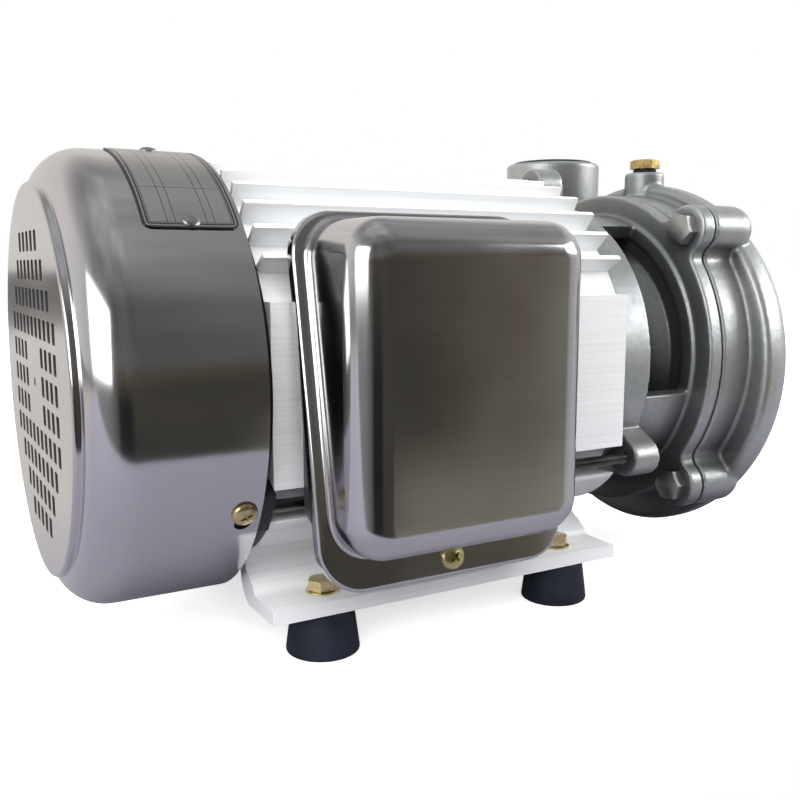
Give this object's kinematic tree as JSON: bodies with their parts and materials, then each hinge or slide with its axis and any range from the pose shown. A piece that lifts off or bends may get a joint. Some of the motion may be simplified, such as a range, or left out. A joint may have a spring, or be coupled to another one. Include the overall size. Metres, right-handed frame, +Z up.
{
  "type": "centrifugal pump",
  "caption": "Close-coupled electric centrifugal pump: finned motor on rubber feet, slotted fan cover, side terminal box, cast bracket and volute casing with side-vertical outlet.",
  "frame": {"origin": "on the floor, under the middle of the whole part's box", "axes": "X along the shaft from the fan cover to the suction port, -Y towards the terminal box, Z up"},
  "size_m": [0.36, 0.2234, 0.2054],
  "materials": {
    "anodised_aluminium": "pale natural anodised extrusion with fine die lines",
    "cast_stainless": "bead-blasted investment casting, warm grey",
    "polished_sheet": "polished pressed stainless sheet",
    "plate_metal": "satin plate, left plain",
    "zinc_yellow": "yellow passivated zinc plating",
    "bolt_steel": "plain stainless fastener",
    "brass": "turned brass",
    "rubber": "moulded black rubber",
    "black_plastic": "moulded black plastic",
    "dark_sheet": "dark coated sheet steel",
    "dark_cast": "cast aluminium",
    "core_steel": "stacked electrical steel",
    "copper_windings": "varnished copper winding",
    "bearing_steel": "ground bearing steel",
    "shaft_steel": "turned stainless shaft",
    "seal_ceramic": "ceramic seal seat",
    "seal_carbon": "carbon and rubber seal head",
    "grey_plastic": "pale moulded plastic"
  },
  "bodies": {
    "frame": {"motor_housing": "anodised_aluminium", "rubber_feet": "rubber", "foot_bolts": "zinc_yellow", "rear_end_shield": "dark_cast", "fan_cover": "polished_sheet", "fan_cover_screws": "zinc_yellow", "data_plate": "plate_metal", "plate_rivets": "bolt_steel", "tie_rods": "bolt_steel", "stator_core": "core_steel", "stator_windings": "copper_windings", "rear_bearing_outer": "bearing_steel", "front_bearing_outer": "bearing_steel", "terminal_box_gasket": "rubber", "terminal_box_pan": "dark_sheet", "cable_grommet": "rubber", "run_capacitor": "grey_plastic", "capacitor_clip": "bolt_steel", "terminal_block": "black_plastic", "terminal_screws": "brass", "pump_bracket": "cast_stainless", "casing_gasket": "rubber", "casing_bolts": "bolt_steel", "casing": "cast_stainless", "shaft_seal_seat": "seal_ceramic"},
    "rotor": {"motor_shaft": "shaft_steel", "rotor_core": "core_steel", "rotor_cage": "dark_cast", "impeller_key": "bolt_steel", "rear_bearing_inner": "bearing_steel", "front_bearing_inner": "bearing_steel", "cooling_fan": "black_plastic", "fan_clip": "bolt_steel", "shaft_seal_head": "seal_carbon", "shaft_seal_spring": "bolt_steel", "water_slinger": "rubber", "impeller": "cast_stainless", "impeller_nut": "bolt_steel"},
    "rear_balls": {"rear_bearing_balls": "bearing_steel"},
    "front_balls": {"front_bearing_balls": "bearing_steel"},
    "box_lid": {"terminal_box_cover": "polished_sheet", "terminal_box_screw": "zinc_yellow"},
    "cap": {"outlet_cap": "black_plastic"},
    "plug_washer": {"priming_plug_washer": "rubber"},
    "plug": {"priming_plug": "brass"}
  },
  "joints": [
    {"name": "rotor_spin", "type": "hinge", "parent": "frame", "child": "rotor", "pos_m": [-0.034, 0.00825, 0.102], "axis": [1, 0, 0], "continuous": true},
    {"name": "rear_balls_spin", "type": "hinge", "parent": "frame", "child": "rear_balls", "pos_m": [-0.034, 0.00825, 0.102], "axis": [1, 0, 0], "continuous": true},
    {"name": "front_balls_spin", "type": "hinge", "parent": "frame", "child": "front_balls", "pos_m": [-0.034, 0.00825, 0.102], "axis": [1, 0, 0], "continuous": true},
    {"name": "box_lid_tilt", "type": "hinge", "parent": "frame", "child": "box_lid", "pos_m": [-0.0584, -0.06541, 0.16305], "axis": [-1, 0, 0], "range_deg": [0, 75]},
    {"name": "outlet_cap_lift", "type": "slide", "parent": "frame", "child": "cap", "axis": [0, 0, 1], "range_m": [0, 0.06]},
    {"name": "plug_lift", "type": "slide", "parent": "frame", "child": "plug_washer", "axis": [0, 0, 1], "range_m": [0, 0.0091]},
    {"name": "plug_turn", "type": "hinge", "parent": "plug_washer", "child": "plug", "pos_m": [0.1265, 0.00825, 0.193], "axis": [0, 0, 1], "range_deg": [0, 3600]}
  ],
  "couplings": [
    {"joint": "rear_balls_spin", "follows": "rotor_spin", "ratio": 0.4},
    {"joint": "front_balls_spin", "follows": "rotor_spin", "ratio": 0.4},
    {"joint": "plug_lift", "follows": "plug_turn", "m_per_rad": 0.0001444}
  ]
}
